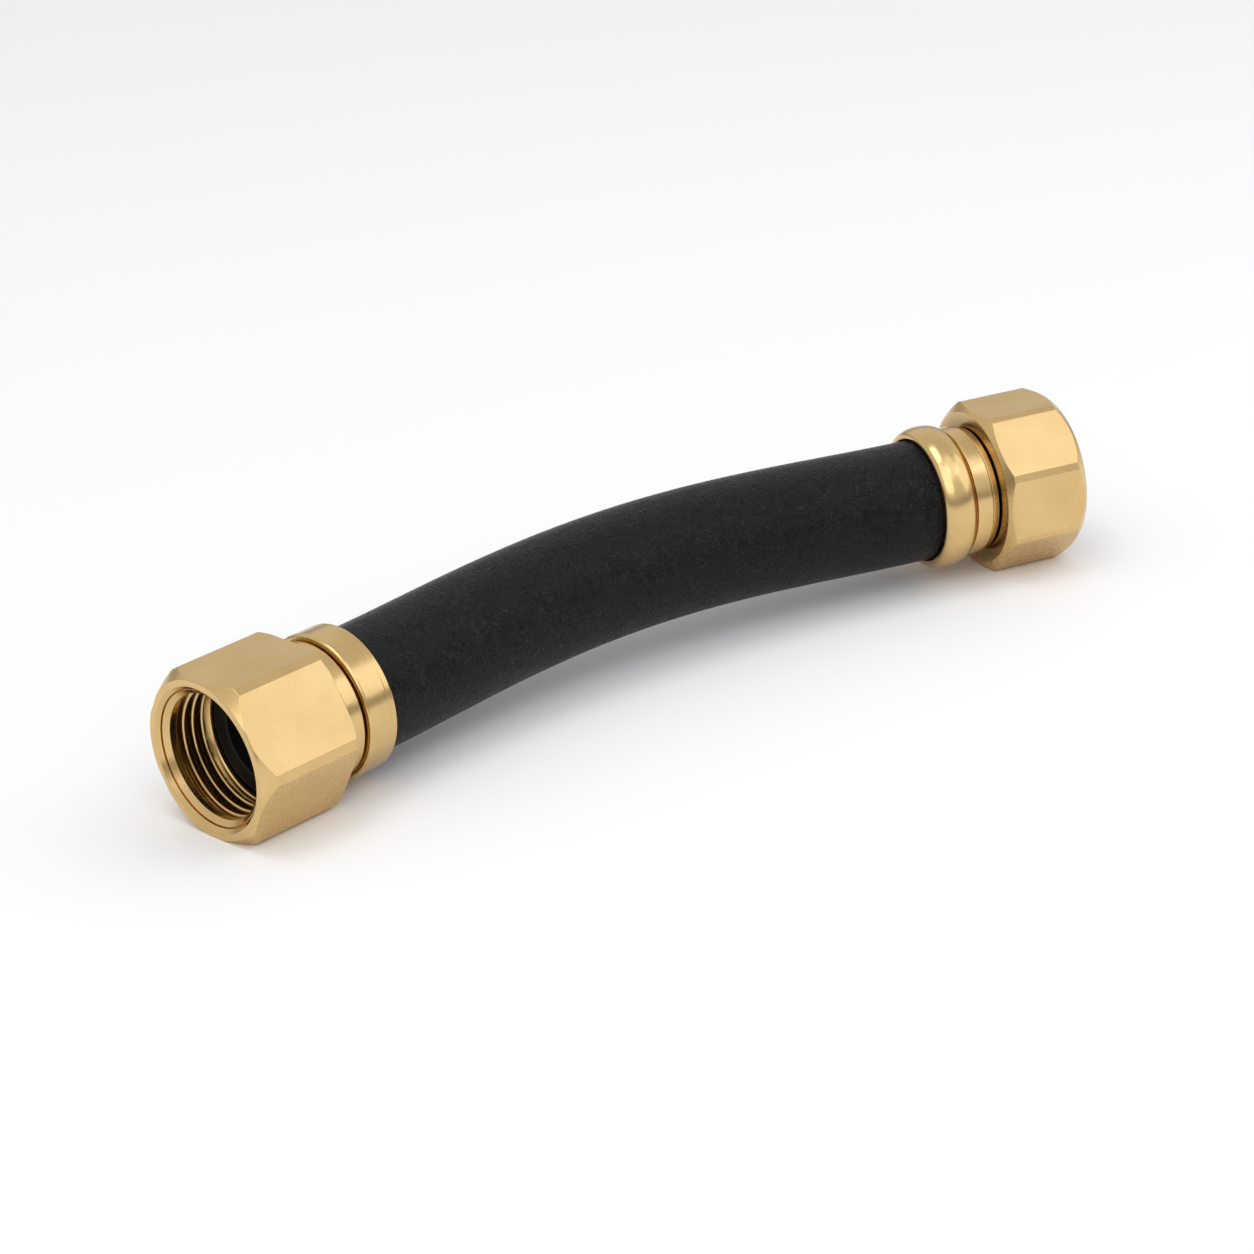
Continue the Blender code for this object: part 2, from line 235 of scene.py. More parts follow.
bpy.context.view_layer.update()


def seat_matrix(end):
    """Frame of one coupling, from its swivel joint, which is at the middle of the nut."""
    joint = next(j for j in frame["joints"] if j["name"] == end.joint)
    outwards = Vector(joint["axis"]).normalized()
    up = Vector((0, 0, 1))
    turn = Matrix((up.cross(outwards), up, outwards)).transposed().to_4x4()
    return Matrix.Translation(Vector(joint["pos_m"]) + outwards * end.nut_length / 2) @ turn


def rounded(corners):
    """Closed outline through corners (x, y, fillet), each an arc with a support point on either side.

    A corner without a fillet stays one point, so like outlines have like counts of points.
    """
    points = []
    count = len(corners)
    for place, (x, y, fillet) in enumerate(corners):
        here = Vector((x, y))
        if fillet == 0:
            points.append(here)
            continue
        back = Vector(corners[place - 1][:2]) - here
        ahead = Vector(corners[(place + 1) % count][:2]) - here
        back_way = back.normalized()
        ahead_way = ahead.normalized()
        shortest = min(back.length, ahead.length)
        towards = back_way + ahead_way
        if shortest < WELD_DISTANCE or towards.length < STRAIGHT:
            points += [here] * (ARC_STEPS + 3)
            continue
        half = back_way.angle(ahead_way) / 2
        reach = min(fillet / math.tan(half), FILLET_SHARE * shortest)
        centre = here + towards.normalized() * (reach / math.cos(half))
        start = here + back_way * reach - centre
        finish = here + ahead_way * reach - centre
        sweep = math.pi - 2 * half
        points.append(centre + start + back_way * min(SUPPORT, SUPPORT_SHARE * back.length))
        for step in range(ARC_STEPS + 1):
            share = step / ARC_STEPS
            arm = start * math.sin((1 - share) * sweep) + finish * math.sin(share * sweep)
            points.append(centre + arm / math.sin(sweep))
        points.append(centre + finish + ahead_way * min(SUPPORT, SUPPORT_SHARE * ahead.length))
    return points


def finish_mesh(name, shape, material, matrix=None):
    """Makes the object of a bmesh: welded, facing outwards, smooth between its sharp edges."""
    bmesh.ops.remove_doubles(shape, verts=shape.verts, dist=WELD_DISTANCE)
    bmesh.ops.dissolve_degenerate(shape, edges=shape.edges, dist=WELD_DISTANCE)
    bmesh.ops.recalc_face_normals(shape, faces=shape.faces)
    mesh = bpy.data.meshes.new(name)
    shape.to_mesh(mesh)
    shape.free()
    mesh.shade_smooth()
    mesh.set_sharp_from_angle(angle=SHARP_ANGLE)
    mesh.materials.append(material)
    piece = bpy.data.objects.new(name, mesh)
    bpy.context.scene.collection.objects.link(piece)
    if matrix:
        piece.matrix_world = matrix
    return piece


def weave(shape, columns):
    """Faces between neighbouring columns of points, round to the first again, from pairs (here, ahead)."""
    for place, (here, ahead) in enumerate(columns):
        for k in range(len(here)):
            following = (k + 1) % len(here)
            corners = []
            for corner in (here[k], ahead[k], ahead[following], here[following]):
                if corner not in corners:
                    corners.append(corner)
            if len(corners) > 2:
                shape.faces.new(corners)


def turned(name, outline, material, matrix, steps=TURNED_STEPS):
    """Spins a closed outline of (radius, depth, fillet) corners about the coupling's axis."""
    shape = bmesh.new()
    profile = rounded(outline)
    columns = []
    for step in range(steps):
        angle = 2 * math.pi * step / steps
        across = math.cos(angle)
        upwards = math.sin(angle)
        columns.append([shape.verts.new((p.x * across, p.x * upwards, -p.y)) for p in profile])
    weave(shape, [(columns[k], columns[(k + 1) % steps]) for k in range(steps)])
    return finish_mesh(name, shape, material, matrix)


def nut_section(end):
    """Points round the nut's polygon: flats, fillets and the bevelled strip along each corner."""
    apothem = end.across_flats / 2
    step_angle = 2 * math.pi / end.nut_sides
    half_side = apothem * math.tan(step_angle / 2) - end.corner_bevel / 2 / math.cos(step_angle / 2)
    corners = []
    for side in range(end.nut_sides):
        normal = Vector((math.sin(side * step_angle), math.cos(side * step_angle)))
        along = Vector((normal.y, -normal.x))
        first = normal * apothem - along * half_side
        last = normal * apothem + along * half_side
        corners.append((first.x, first.y, STRIP_FILLET))
        for step in range(1, FLAT_STEPS):
            middle = first.lerp(last, step / FLAT_STEPS)
            corners.append((middle.x, middle.y, 0))
        corners.append((last.x, last.y, STRIP_FILLET))
        turn = Matrix.Rotation(-step_angle, 2)
        ahead = turn @ first
        for step in range(1, STRIP_STEPS):
            middle = last.lerp(ahead, step / STRIP_STEPS)
            corners.append((middle.x, middle.y, 0))
    return rounded(corners)


def thread_points(start, end, turn):
    """(radius, depth) along one column of the right-hand thread, from its inner end to its outer one."""
    points = []
    turns = math.ceil((end - start) / THREAD_PITCH) + 1
    for step in range((turns + 1) * THREAD_STEPS, -1, -1):
        share = (step % THREAD_STEPS) / THREAD_STEPS
        depth = start + (step / THREAD_STEPS - turn) * THREAD_PITCH
        ramp = min(1.0, (depth - start) / (THREAD_PITCH / 2), (end - depth) / (THREAD_PITCH / 2))
        cut = THREAD_DEPTH * max(0.0, ramp) * thread_form(share)
        points.append((SOCKET_RADIUS + cut, min(max(depth, start), end), 0))
    return points


def thread_form(share):
    """Depth of the thread's groove over one pitch, as a share, on either side of its narrow crest."""
    distance = abs(share - THREAD_CREST)
    return smooth((min(distance, 1 - distance) - CREST_HALF_WIDTH) / FLANK_WIDTH)


def smooth(share):
    """Rises from 0 to 1 with level ends."""
    share = min(max(share, 0.0), 1.0)
    return share * share * (3 - 2 * share)


def nut_profile(end, radius, turn):
    """Closed profile of the nut where its polygon has this radius."""

    def cone_depth(face_radius, length, least):
        share = (radius - face_radius) / (end.corner_radius - face_radius)
        return max(least, length * share)

    mouth_radius = min(end.mouth_face_diameter / 2, radius - 2 * EDGE)
    back_radius = min(end.back_face_diameter / 2, radius - EDGE)
    countersink_depth = COUNTERSINK_DIAMETER / 2 - SOCKET_RADIUS
    relief_radius = COUNTERSINK_DIAMETER / 2 - RELIEF_PLACE
    chamber_end = end.flange_back + SWIVEL_GAP
    hole = NECK_RADIUS + SWIVEL_GAP
    thread_start = countersink_depth + THREAD_LEAD
    thread_end = SOCKET_DEPTH - THREAD_RUNOUT
    corners = [
        (COUNTERSINK_DIAMETER / 2, 0, EDGE),
        (mouth_radius, 0, EDGE),
        (radius, cone_depth(end.mouth_face_diameter / 2, end.mouth_chamfer, 2 * EDGE), EDGE),
        (radius, end.nut_length - cone_depth(end.back_face_diameter / 2, end.back_chamfer, EDGE), EDGE),
        (back_radius, end.nut_length, EDGE),
        (hole, end.nut_length, SOFT_EDGE),
        (hole, chamber_end, 0),
        (SOCKET_RADIUS, chamber_end, 0),
        (SOCKET_RADIUS, thread_end, 0),
    ]
    corners += thread_points(thread_start, thread_end, turn)
    corners += [
        (SOCKET_RADIUS, thread_start, 0),
        (SOCKET_RADIUS, countersink_depth, 0),
        (relief_radius - RELIEF_WIDTH / 2, RELIEF_PLACE + RELIEF_WIDTH / 2, 0),
        (relief_radius + RELIEF_DEPTH, RELIEF_PLACE + RELIEF_DEPTH, 0),
        (relief_radius + RELIEF_WIDTH / 2, RELIEF_PLACE - RELIEF_WIDTH / 2, 0),
    ]
    return rounded(corners)


def make_nut(end, material, matrix):
    """Weaves the nut from a profile at each point of its section, so the thread climbs as it goes round."""
    section = nut_section(end)
    count = len(section)
    shape = bmesh.new()
    made = {}

    def column(place, turn):
        ring = section[place % count]
        way = ring.normalized()
        verts = []
        for point in nut_profile(end, ring.length, turn):
            key = (place % count, round(point.x / WELD_DISTANCE), round(point.y / WELD_DISTANCE))
            if key not in made:
                made[key] = shape.verts.new((way.x * point.x, way.y * point.x, -point.y))
            verts.append(made[key])
        return verts

    def turn_at(place):
        ring = section[place % count]
        return math.atan2(ring.y, ring.x) / (2 * math.pi) % 1.0

    pairs = []
    for place in range(count):
        turn = turn_at(place)
        change = (turn_at(place + 1) - turn + 0.5) % 1.0 - 0.5
        pairs.append((column(place, turn), column(place + 1, turn + change)))
    weave(shape, pairs)
    return finish_mesh(end.nut, shape, material, matrix)


def make_washer(end, material, matrix):
    inner = WASHER_BORE_DIAMETER / 2
    outer = SOCKET_RADIUS - SWIVEL_GAP
    back = SOCKET_DEPTH + WASHER_THICKNESS
    outline = [
        (inner, SOCKET_DEPTH, SOFT_EDGE),
        (outer, SOCKET_DEPTH, SOFT_EDGE),
        (outer, back, SOFT_EDGE),
        (inner, back, SOFT_EDGE),
    ]
    return turned(end.prefix + "_rubber_washer", outline, material, matrix)


def make_stem(end, material, matrix):
    bore = STEM_BORE_DIAMETER / 2
    flange = SOCKET_RADIUS - SWIVEL_GAP
    collar = end.collar_diameter / 2
    neck_end = end.ferrule_front + FERRULE_END_WALL
    barb_top = HOSE_BORE_DIAMETER / 2 - CLEARANCE
    outline = [
        (bore, end.flange_front, STEM_MOUTH_FILLET),
        (flange, end.flange_front, EDGE),
        (flange, end.flange_back, EDGE),
        (NECK_RADIUS, end.flange_back, 0),
        (NECK_RADIUS, end.collar_front, 0),
        (collar, end.collar_front, EDGE),
        (collar, end.collar_front + end.collar_length, EDGE),
        (NECK_RADIUS, end.collar_front + end.collar_length, 0),
        (NECK_RADIUS, neck_end, EDGE),
    ]
    for barb in range(BARB_COUNT):
        outline.append((barb_top, neck_end + barb * BARB_LENGTH, EDGE))
        outline.append((barb_top - BARB_DEPTH, neck_end + (barb + 1) * BARB_LENGTH, EDGE))
    outline.append((bore, neck_end + BARB_COUNT * BARB_LENGTH, EDGE))
    return turned(end.prefix + "_brass_stem", outline, material, matrix)


def plain_sleeve(end):
    """Outer line of a straight sleeve: a rounded shoulder, a fine scored line and a broken back edge."""
    radius = end.sleeve_radius
    score = end.ferrule_back - SCORE_INSET
    return [
        (radius, end.sleeve_front, SHOULDER_RADIUS),
        (radius, score - SCORE_DEPTH, 0),
        (radius - SCORE_DEPTH, score, 0),
        (radius, score + SCORE_DEPTH, 0),
        (radius, end.ferrule_back, SOFT_EDGE),
    ]


def rolled_bead(end):
    """Outer line of a sleeve that is one rolled bead."""
    foot = HOSE_RADIUS + CLEARANCE + BEAD_LIP
    half = end.sleeve_length / 2
    points = []
    for step in range(BEAD_STEPS + 1):
        angle = math.pi * (step / BEAD_STEPS - 0.5)
        radius = foot + (end.sleeve_radius - foot) * math.cos(angle)
        points.append((radius, end.sleeve_front + half + half * math.sin(angle), 0))
    return points


def make_ferrule(end, material, matrix):
    crimped = CRIMPED_RADIUS + CLEARANCE
    band = crimped + FERRULE_BAND_WALL
    groove = crimped + FERRULE_GROOVE_WALL
    front = end.ferrule_front
    band_back = front + end.band_length
    hole = NECK_RADIUS + CLEARANCE
    open_radius = HOSE_RADIUS + CLEARANCE
    outline = [
        (hole, front, EDGE),
        (band, front, EDGE),
        (band, band_back, EDGE),
        (groove, band_back + SOFT_EDGE, EDGE),
        (groove, end.sleeve_front, EDGE),
    ]
    outline += rolled_bead(end) if end.rolled_bead else plain_sleeve(end)
    outline += [
        (open_radius, end.ferrule_back, EDGE),
        (open_radius, end.crimp_end + CRIMP_SLOPE, 0),
        (crimped, end.crimp_end, 0),
        (crimped, front + FERRULE_END_WALL, 0),
        (hole, front + FERRULE_END_WALL, 0),
    ]
    return turned(end.prefix + "_brass_ferrule", outline, material, matrix)


def arch_height(share):
    """Height of the hose's slight upward arch, level at both ends; the 16 brings its top to HOSE_ARCH."""
    return HOSE_ARCH * 16 * share**2 * (1 - share) ** 2


def free_centreline(origin):
    """Points of the free hose, from the hexagon end's ferrule at origin to the other ferrule."""
    heading_step = HOSE_FREE_LENGTH / HOSE_LENGTH_STEPS
    rise = (OCTAGON_END.across_flats - HEX_END.across_flats) / 2
    flat = Vector(origin)
    points = []
    for step in range(HOSE_LENGTH_STEPS + 1):
        share = step / HOSE_LENGTH_STEPS
        points.append(flat + Vector((0, 0, rise * smooth(share) + arch_height(share))))
        heading = HOSE_BEND * (0.5 - smooth(share + 0.5 / HOSE_LENGTH_STEPS))
        flat = flat + heading_step * Vector((math.cos(heading), math.sin(heading), 0))
    return points


def hose_stations(hex_seat, octagon_seat):
    """(point, outer radius) along the whole hose, from its cut end in one ferrule to the one in the other."""

    def inside(seat, end):
        depths = [
            (end.hose_end, CRIMPED_RADIUS),
            (end.crimp_end, CRIMPED_RADIUS),
            (end.crimp_end + CRIMP_SLOPE, HOSE_RADIUS),
        ]
        return [(seat @ Vector((0, 0, -depth)), radius) for depth, radius in depths]

    free = free_centreline(hex_seat @ Vector((0, 0, -HEX_END.ferrule_back)))
    stations = inside(hex_seat, HEX_END)
    stations += [(point, HOSE_RADIUS) for point in free]
    stations += reversed(inside(octagon_seat, OCTAGON_END))
    return stations


def make_hose(stations, material):
    """Sweeps the hose's wall along its stations."""
    points = [point for point, radius in stations]
    last = len(points) - 1
    shape = bmesh.new()
    columns = []
    outer_rings = []
    inner_rings = []
    for place, (point, outer) in enumerate(stations):
        way = (points[min(place + 1, last)] - points[max(place - 1, 0)]).normalized()
        side = way.cross(Vector((0, 0, 1))).normalized()
        up = side.cross(way)
        for radius, rings in ((outer, outer_rings), (HOSE_BORE_DIAMETER / 2, inner_rings)):
            ring = []
            for corner in range(HOSE_RING_STEPS):
                angle = 2 * math.pi * corner / HOSE_RING_STEPS
                arm = math.cos(angle) * side + math.sin(angle) * up
                ring.append(shape.verts.new(point + radius * arm))
            rings.append(ring)
    for corner in range(HOSE_RING_STEPS):
        out = [ring[corner] for ring in outer_rings]
        back = [ring[corner] for ring in reversed(inner_rings)]
        columns.append(out + back)
    weave(shape, [(columns[k], columns[(k + 1) % HOSE_RING_STEPS]) for k in range(HOSE_RING_STEPS)])
    return finish_mesh("rubber_hose", shape, material)


class Graph:
    """Short calls for building a material's nodes."""

    def __init__(self, name):
        self.material = bpy.data.materials.new(name)
        self.material.use_nodes = True
        self.tree = self.material.node_tree
        self.shader = self.tree.nodes["Principled BSDF"]
        self.coordinates = self.add("ShaderNodeTexCoord")
        self.place = self.coordinates.outputs["Object"]

    def add(self, kind, **values):
        node = self.tree.nodes.new(kind)
        for key, value in values.items():
            setattr(node, key, value)
        return node

    def link(self, source, target):
        self.tree.links.new(source, target)

    def noise(self, feature, detail=3.0, distortion=0.0, place=None, roughness=0.5):
        """Noise whose features are about this long."""
        node = self.add("ShaderNodeTexNoise")
        node.inputs["Scale"].default_value = 1 / feature
        node.inputs["Detail"].default_value = detail
        node.inputs["Distortion"].default_value = distortion
        node.inputs["Roughness"].default_value = roughness
        self.link(place or self.place, node.inputs["Vector"])
        return node.outputs["Fac"]

    def ramp(self, value, low, high, from_low=0.0, from_high=1.0):
        """Maps a value's range to another, clamped."""
        node = self.add("ShaderNodeMapRange", clamp=True)
        node.inputs["From Min"].default_value = from_low
        node.inputs["From Max"].default_value = from_high
        node.inputs["To Min"].default_value = low
        node.inputs["To Max"].default_value = high
        self.link(value, node.inputs["Value"])
        return node.outputs["Result"]

    def spread(self, noise, low=0.0, high=1.0):
        """Maps noise, whose values crowd round a half, to this range."""
        return self.ramp(noise, low, high, NOISE_LOW, NOISE_HIGH)

    def math(self, operation, first, second=0.0):
        node = self.add("ShaderNodeMath", operation=operation)
        for socket, value in zip(node.inputs, (first, second)):
            if isinstance(value, (int, float)):
                socket.default_value = value
            else:
                self.link(value, socket)
        return node.outputs["Value"]

    def blend_colours(self, share, first, second):
        node = self.add("ShaderNodeMix", data_type="RGBA")
        self.link(share, node.inputs["Factor"])
        for socket, colour in ((node.inputs[6], first), (node.inputs[7], second)):
            if isinstance(colour, tuple):
                socket.default_value = (*colour, 1.0)
            else:
                self.link(colour, socket)
        return node.outputs[2]

    def bump(self, height, distance, below=None):
        node = self.add("ShaderNodeBump")
        node.inputs["Strength"].default_value = 1.0
        node.inputs["Distance"].default_value = distance
        self.link(height, node.inputs["Height"])
        if below:
            self.link(below, node.inputs["Normal"])
        return node.outputs["Normal"]

    def stretched(self, scale):
        """The place in the piece, with each axis scaled."""
        node = self.add("ShaderNodeVectorMath", operation="MULTIPLY")
        self.link(self.place, node.inputs[0])
        node.inputs[1].default_value = scale
        return node.outputs["Vector"]

    def radius(self):
        """Distance from the coupling's axis."""
        node = self.add("ShaderNodeVectorMath", operation="LENGTH")
        self.link(self.stretched((1.0, 1.0, 0.0)), node.inputs[0])
        return node.outputs["Value"]

    def inwards(self, source):
        """How far a vector runs along the axis into the coupling."""
        node = self.add("ShaderNodeVectorMath", operation="DOT_PRODUCT")
        self.link(source, node.inputs[0])
        node.inputs[1].default_value = (0.0, 0.0, -1.0)
        return node.outputs["Value"]


NOISE_LOW = 0.3
NOISE_HIGH = 0.7

# Brass
BRASS_LIGHT = (0.73, 0.51, 0.232)
BRASS_DEEP = (0.67, 0.46, 0.198)
BRASS_PAINTED_ROOT_SHADE = (0.33, 0.21, 0.075)  # painted shade in the thread's grooves
BRASS_PAINTED_SHADE = (0.24, 0.16, 0.07)  # painted shade in the grooves and on faces that lie close to another piece
NUT_TONE_FEATURE = 9 * MM
NUT_MOTTLE_FEATURE = 1.5 * MM
NUT_MOTTLE_HEIGHT = 0.005 * MM
NUT_ROUGHNESS = (0.25, 0.29)
SOCKET_POLISH = 0.75  # roughness in the socket, as a share of that on the faces
POLISH_RADII = (14.3 * MM, 14.6 * MM)
# Painted shade in the thread's roots: it grows from the crests down into the grooves, stops at the socket
# wall, and sets in past the lead
ROOT_RADII = (SOCKET_RADIUS + 0.15 * MM, SOCKET_RADIUS + 0.75 * MM)
SOCKET_WALL_RADII = (SOCKET_RADIUS + 1.1 * MM, SOCKET_RADIUS + 1.3 * MM)
ROOT_DEPTHS = (3.2 * MM, 4.2 * MM)
# Painted shade on the nut's back face: how squarely a face looks back, the radii over which the shade fades
# out from the stem, and its least share
BACK_FACING = (0.85, 0.97)
BACK_SHADE_RADII = (13.0 * MM, 16.0 * MM)
BACK_SHADE_LEAST = 0.25
TURNED_TONE_FEATURE = 7 * MM
# Radii where the groove colour fades in: painted shade on the ferrule, a deeper brass tone on the stem
GROOVE_RADII = (13.05 * MM, 13.5 * MM)
RING_FEATURE = 0.25 * MM
RING_STRETCH = (0.02, 0.02, 1.0)
RING_ROUGHNESS = (-0.04, 0.06)  # added to a piece's own roughness
RIPPLE_FEATURE = 2.5 * MM
RIPPLE_HEIGHT = 0.03 * MM

# Rubber
HOSE_BLACK = (0.0018, 0.0018, 0.0019)
HOSE_WORN = (0.0038, 0.0038, 0.0037)
HOSE_WRINKLE = (0.013, 0.013, 0.0127)
HOSE_ROUGHNESS = (0.3, 0.38)
HOSE_SPECULAR = 0.17
SWIRL_FEATURE = 2.6 * MM
CURL_TURNS = 60.0  # how often the wrinkles repeat over the swirl's range, in radians
CURL_CREST = 0.45
PATCH_FEATURE = 4 * MM
PATCH_RANGE = (0.35, 0.6)
PATCH_LEAST = 0.35
WEAR_FEATURE = 14 * MM
WRINKLE_HEIGHT = 0.08 * MM
HOSE_GRAIN_FEATURE = 0.35 * MM
HOSE_GRAIN_HEIGHT = 0.015 * MM
WASHER_BLACK = (0.004, 0.004, 0.0042)
WASHER_WORN = (0.008, 0.008, 0.0083)
WASHER_ROUGHNESS = (0.45, 0.6)
WASHER_SPECULAR = 0.3
WASHER_GRAIN_FEATURE = 0.4 * MM
WASHER_RING_FEATURE = 0.5 * MM
WASHER_RING_HEIGHT = 0.015 * MM


def brass_tone(graph, feature):
    """Slow changes of tone over patches of about this size."""
    return graph.blend_colours(graph.spread(graph.noise(feature, detail=2.0)), BRASS_DEEP, BRASS_LIGHT)


def satin_brass():
    """Machined nut: a fine mottle on the faces, polished in the mouth, with painted shade in the thread's
    grooves and on the back face near the stem.
    """
    graph = Graph("nut_satin_brass")
    brass = brass_tone(graph, NUT_TONE_FEATURE)
    radius = graph.radius()
    # Painted shade: the brass is darkened in the thread's roots deep in the socket
    below_crest = graph.ramp(radius, 0.0, 1.0, *ROOT_RADII)
    in_socket = graph.ramp(radius, 1.0, 0.0, *SOCKET_WALL_RADII)
    past_lead = graph.ramp(graph.inwards(graph.place), 0.0, 1.0, *ROOT_DEPTHS)
    painted_root_shade = graph.math("MULTIPLY", graph.math("MULTIPLY", below_crest, in_socket), past_lead)
    # Painted shade: the back face is darkened where it lies close to the stem
    back = graph.ramp(graph.inwards(graph.coordinates.outputs["Normal"]), 0.0, 1.0, *BACK_FACING)
    near_stem = graph.ramp(radius, 1.0, BACK_SHADE_LEAST, *BACK_SHADE_RADII)
    shaded = graph.blend_colours(graph.math("MULTIPLY", back, near_stem), brass, BRASS_PAINTED_SHADE)
    graph.link(graph.blend_colours(painted_root_shade, shaded, BRASS_PAINTED_ROOT_SHADE), graph.shader.inputs["Base Color"])
    mottle = graph.noise(NUT_MOTTLE_FEATURE, detail=3.0, distortion=2.0, roughness=0.55)
    satin = graph.spread(mottle, *NUT_ROUGHNESS)
    on_faces = graph.ramp(radius, SOCKET_POLISH, 1.0, *POLISH_RADII)
    graph.link(graph.math("MULTIPLY", satin, on_faces), graph.shader.inputs["Roughness"])
    graph.link(graph.bump(mottle, NUT_MOTTLE_HEIGHT), graph.shader.inputs["Normal"])
    graph.shader.inputs["Metallic"].default_value = 1.0
    return graph.material


def turned_brass(name, roughness, ring_height, groove_colour):
    """Turned and polished: fine rings round the axis, and this colour near the axis, in the groove; the
    ferrule is given painted shade there, the stem a deeper brass tone.
    """
    graph = Graph(name)
    brass = brass_tone(graph, TURNED_TONE_FEATURE)
    in_groove = graph.ramp(graph.radius(), 1.0, 0.0, *GROOVE_RADII)
    graph.link(graph.blend_colours(in_groove, brass, groove_colour), graph.shader.inputs["Base Color"])
    rings = graph.noise(RING_FEATURE, place=graph.stretched(RING_STRETCH))
    smoothest, roughest = (roughness + change for change in RING_ROUGHNESS)
    graph.link(graph.ramp(rings, smoothest, roughest), graph.shader.inputs["Roughness"])
    ripple = graph.bump(graph.noise(RIPPLE_FEATURE, detail=2.0), RIPPLE_HEIGHT)
    graph.link(graph.bump(rings, ring_height, ripple), graph.shader.inputs["Normal"])
    graph.shader.inputs["Metallic"].default_value = 1.0
    return graph.material


def hose_rubber():
    """Matte black with fine curly wrinkles."""
    graph = Graph("hose_wrinkled_rubber")
    swirl = graph.noise(SWIRL_FEATURE, detail=2.0, distortion=0.8)
    curls = graph.math("SINE", graph.math("MULTIPLY", swirl, CURL_TURNS))
    patches = graph.ramp(graph.noise(PATCH_FEATURE, detail=1.0), PATCH_LEAST, 1.0, *PATCH_RANGE)
    grain = graph.noise(HOSE_GRAIN_FEATURE)
    wear = graph.spread(graph.noise(WEAR_FEATURE))
    rubber = graph.blend_colours(wear, HOSE_BLACK, HOSE_WORN)
    lines = graph.math("MULTIPLY", graph.ramp(curls, 0.0, 1.0, CURL_CREST, 1.0), patches)
    graph.link(graph.blend_colours(lines, rubber, HOSE_WRINKLE), graph.shader.inputs["Base Color"])
    graph.link(graph.ramp(grain, *HOSE_ROUGHNESS), graph.shader.inputs["Roughness"])
    wrinkles = graph.bump(graph.math("MULTIPLY", curls, patches), WRINKLE_HEIGHT)
    graph.link(graph.bump(grain, HOSE_GRAIN_HEIGHT, wrinkles), graph.shader.inputs["Normal"])
    graph.shader.inputs["Specular IOR Level"].default_value = HOSE_SPECULAR
    return graph.material


def washer_rubber():
    """Matte black with faint moulded rings."""
    graph = Graph("washer_black_rubber")
    grain = graph.noise(WASHER_GRAIN_FEATURE)
    rubber = graph.blend_colours(grain, WASHER_BLACK, WASHER_WORN)
    graph.link(rubber, graph.shader.inputs["Base Color"])
    graph.link(graph.ramp(grain, *WASHER_ROUGHNESS), graph.shader.inputs["Roughness"])
    rings = graph.noise(WASHER_RING_FEATURE, detail=2.0, place=graph.stretched((1.0, 1.0, 0.1)))
    graph.link(graph.bump(rings, WASHER_RING_HEIGHT), graph.shader.inputs["Normal"])
    graph.shader.inputs["Specular IOR Level"].default_value = WASHER_SPECULAR
    return graph.material


FLOOR_SIZE = 6.0
FLOOR_DROP = 0.02 * MM  # keeps the floor clear of the flats that rest on it
FLOOR_WHITE = (0.9, 0.9, 0.9, 1.0)
FLOOR_ROUGHNESS = 0.9


def make_floor():
    """Plain white floor."""
    half = FLOOR_SIZE / 2
    corners = [(-half, -half, 0), (half, -half, 0), (half, half, 0), (-half, half, 0)]
    floor_mesh = bpy.data.meshes.new("floor")
    floor_mesh.from_pydata(corners, [], [(0, 1, 2, 3)])
    floor = bpy.data.objects.new("floor", floor_mesh)
    bpy.context.scene.collection.objects.link(floor)
    floor.location.z = -FLOOR_DROP
    material = bpy.data.materials.new("floor_white")
    material.use_nodes = True
    shader = material.node_tree.nodes["Principled BSDF"]
    shader.inputs["Base Color"].default_value = FLOOR_WHITE
    shader.inputs["Roughness"].default_value = FLOOR_ROUGHNESS
    shader.inputs["Specular IOR Level"].default_value = 0.0
    floor_mesh.materials.append(material)


# Camera: looks at a point just above the floor from a distance, at an azimuth and a height angle,
# slightly rolled. Its focal length is for a 36 mm sensor as wide as the 1254 pixel picture.
CAMERA_TARGET = Vector((8.22 * MM, 19.44 * MM, 1.04 * MM))
CAMERA_DISTANCE = 700 * MM
CAMERA_AZIMUTH = math.radians(57.07)
CAMERA_ELEVATION = math.radians(23.67)
CAMERA_ROLL = math.radians(-4.14)
SENSOR_WIDTH = 36.0
PICTURE_WIDTH = 1254
FOCAL_PIXELS = 3388.1
CLIP_START = 0.01


def make_camera():
    """Makes the camera and returns the level ways ahead of it and to its right."""
    level = Vector((math.cos(CAMERA_AZIMUTH), math.sin(CAMERA_AZIMUTH), 0))
    away = level * math.cos(CAMERA_ELEVATION) - Vector((0, 0, math.sin(CAMERA_ELEVATION)))
    right = away.cross(Vector((0, 0, 1))).normalized()
    up = right.cross(away)
    rolled_right = right * math.cos(CAMERA_ROLL) + up * math.sin(CAMERA_ROLL)
    rolled_up = up * math.cos(CAMERA_ROLL) - right * math.sin(CAMERA_ROLL)
    turn = Matrix((rolled_right, rolled_up, -away)).transposed().to_4x4()
    data = bpy.data.cameras.new("camera")
    data.sensor_fit = "HORIZONTAL"
    data.sensor_width = SENSOR_WIDTH
    data.lens = SENSOR_WIDTH * FOCAL_PIXELS / PICTURE_WIDTH
    data.clip_start = CLIP_START
    camera = bpy.data.objects.new("camera", data)
    camera.matrix_world = Matrix.Translation(CAMERA_TARGET - away * CAMERA_DISTANCE) @ turn
    bpy.context.scene.collection.objects.link(camera)
    bpy.context.scene.camera = camera
    return level, right


# Studio brightness by height, from straight below (0) to straight above (1)
STUDIO_STOPS = ((0.0, 0.4), (0.5, 0.34), (0.57, 0.4), (0.64, 0.76), (0.78, 0.8), (0.9, 0.72), (1.0, 0.7))

